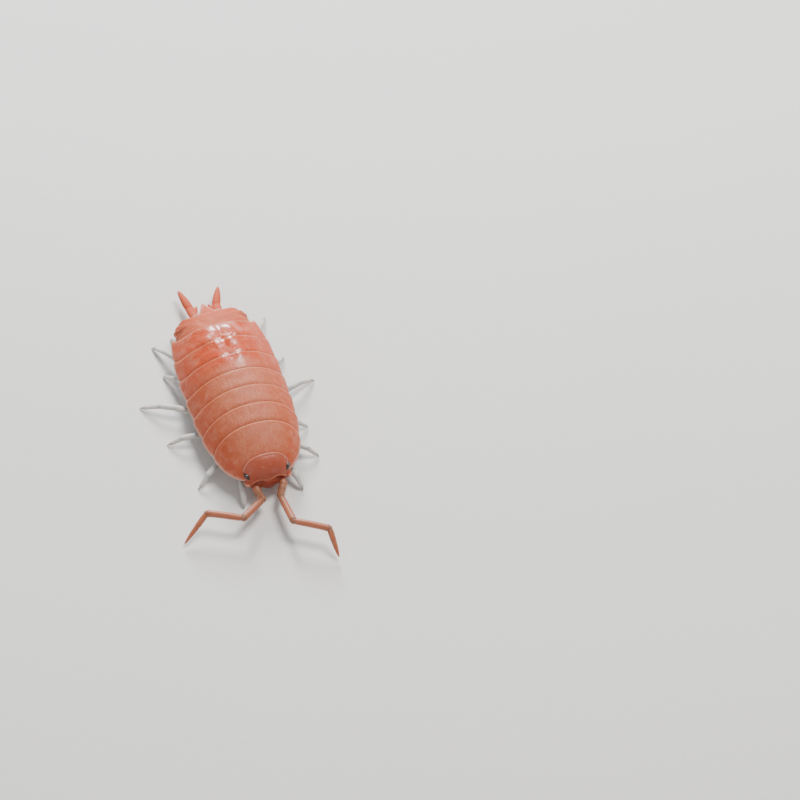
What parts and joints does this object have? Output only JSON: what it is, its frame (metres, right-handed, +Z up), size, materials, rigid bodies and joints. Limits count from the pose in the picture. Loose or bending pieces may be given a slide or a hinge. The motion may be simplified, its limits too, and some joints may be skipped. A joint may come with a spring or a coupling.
{
  "type": "woodlouse",
  "caption": "Life-size woodlouse standing still: oval arched back of overlapping plates, bent antennae, slender legs and pointed tail appendages.",
  "frame": {"origin": "on the floor, under the centre of the model's bounding box", "axes": "+Z up, head towards -Y, the animal's right side towards -X"},
  "size_m": [0.0132, 0.0254, 0.0044],
  "materials": {
    "shell": "semi-gloss, dull bloom in front",
    "tail": "satin",
    "head": "satin",
    "eye": "gloss",
    "antenna": "satin",
    "leg": "satin, slightly translucent"
  },
  "bodies": {
    "root": {"head": "head", "thorax_plate_1": "shell", "thorax_plate_2": "shell", "thorax_plate_3": "shell", "thorax_plate_4": "shell", "thorax_plate_5": "shell", "thorax_plate_6": "shell", "thorax_plate_7": "shell", "pleon": "tail", "telson": "tail", "eye_right": "eye", "eye_left": "eye", "antenna_right": "antenna", "antenna_left": "antenna", "uropod_right": "tail", "uropod_left": "tail", "leg_right_1": "leg", "leg_right_2": "leg", "leg_right_3": "leg", "leg_right_4": "leg", "leg_right_5": "leg", "leg_right_6": "leg", "leg_right_7": "leg", "leg_left_1": "leg", "leg_left_2": "leg", "leg_left_3": "leg", "leg_left_4": "leg", "leg_left_5": "leg", "leg_left_6": "leg", "leg_left_7": "leg"}
  },
  "joints": []
}
